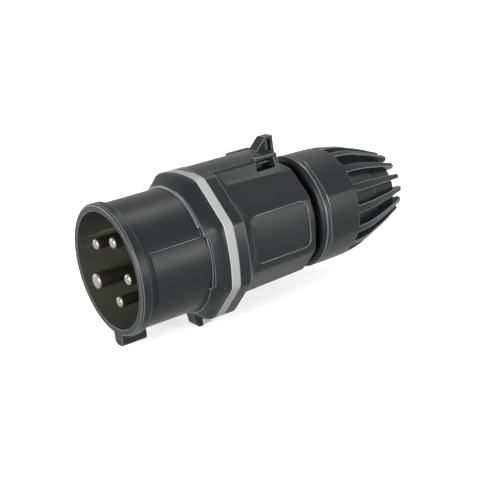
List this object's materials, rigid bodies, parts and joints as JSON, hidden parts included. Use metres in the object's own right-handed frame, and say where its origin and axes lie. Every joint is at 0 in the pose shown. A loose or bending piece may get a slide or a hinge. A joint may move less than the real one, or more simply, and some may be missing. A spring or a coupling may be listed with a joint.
{
  "type": "industrial plug",
  "caption": "Round industrial power plug with a keyed collar round its pins, a marking ring, a ridged rear housing with a lid catch and a ribbed cable gland nut.",
  "frame": {"origin": "centre of the collar rim's front plane, on the plug's axis", "axes": "+X along the plug towards the cable, +Z towards the lid catch, +Y across"},
  "size_m": [0.1496, 0.064, 0.0743],
  "materials": {
    "black_plastic": "fine moulded grain",
    "carrier_plastic": "satin",
    "ring_plastic": "fine moulded grain",
    "nickel": "nickel plated, polished",
    "zinc_steel": "zinc plated",
    "spring_brass": "bright",
    "seal_rubber": "matte",
    "basket_plastic": "natural polyamide"
  },
  "bodies": {
    "housing": {"front_shell": "black_plastic", "rear_housing": "black_plastic", "contact_carrier": "carrier_plastic", "contact_retainer": "carrier_plastic", "marking_ring": "ring_plastic", "pin_l1": "nickel", "pin_l2": "nickel", "pin_l3": "nickel", "pin_neutral": "nickel", "pin_earth": "nickel", "terminal_screws": "zinc_steel", "carrier_screws": "zinc_steel", "retainer_screw": "zinc_steel", "wire_guards": "spring_brass", "flange_seal": "seal_rubber", "gland_seal": "seal_rubber", "seal_insert": "seal_rubber", "clamping_basket": "basket_plastic"},
    "slip_ring_body": {"slip_ring": "basket_plastic"},
    "nut": {"gland_nut": "black_plastic"}
  },
  "joints": [
    {"name": "nut_travel", "type": "slide", "parent": "housing", "child": "slip_ring_body", "axis": [1, 0, 0], "range_m": [0, 0.0045]},
    {"name": "nut_turn", "type": "hinge", "parent": "slip_ring_body", "child": "nut", "pos_m": [0.1, 0, 0], "axis": [1, 0, 0], "range_deg": [0, 540]}
  ],
  "couplings": [
    {"joint": "nut_travel", "follows": "nut_turn", "m_per_rad": 0.00047746}
  ]
}
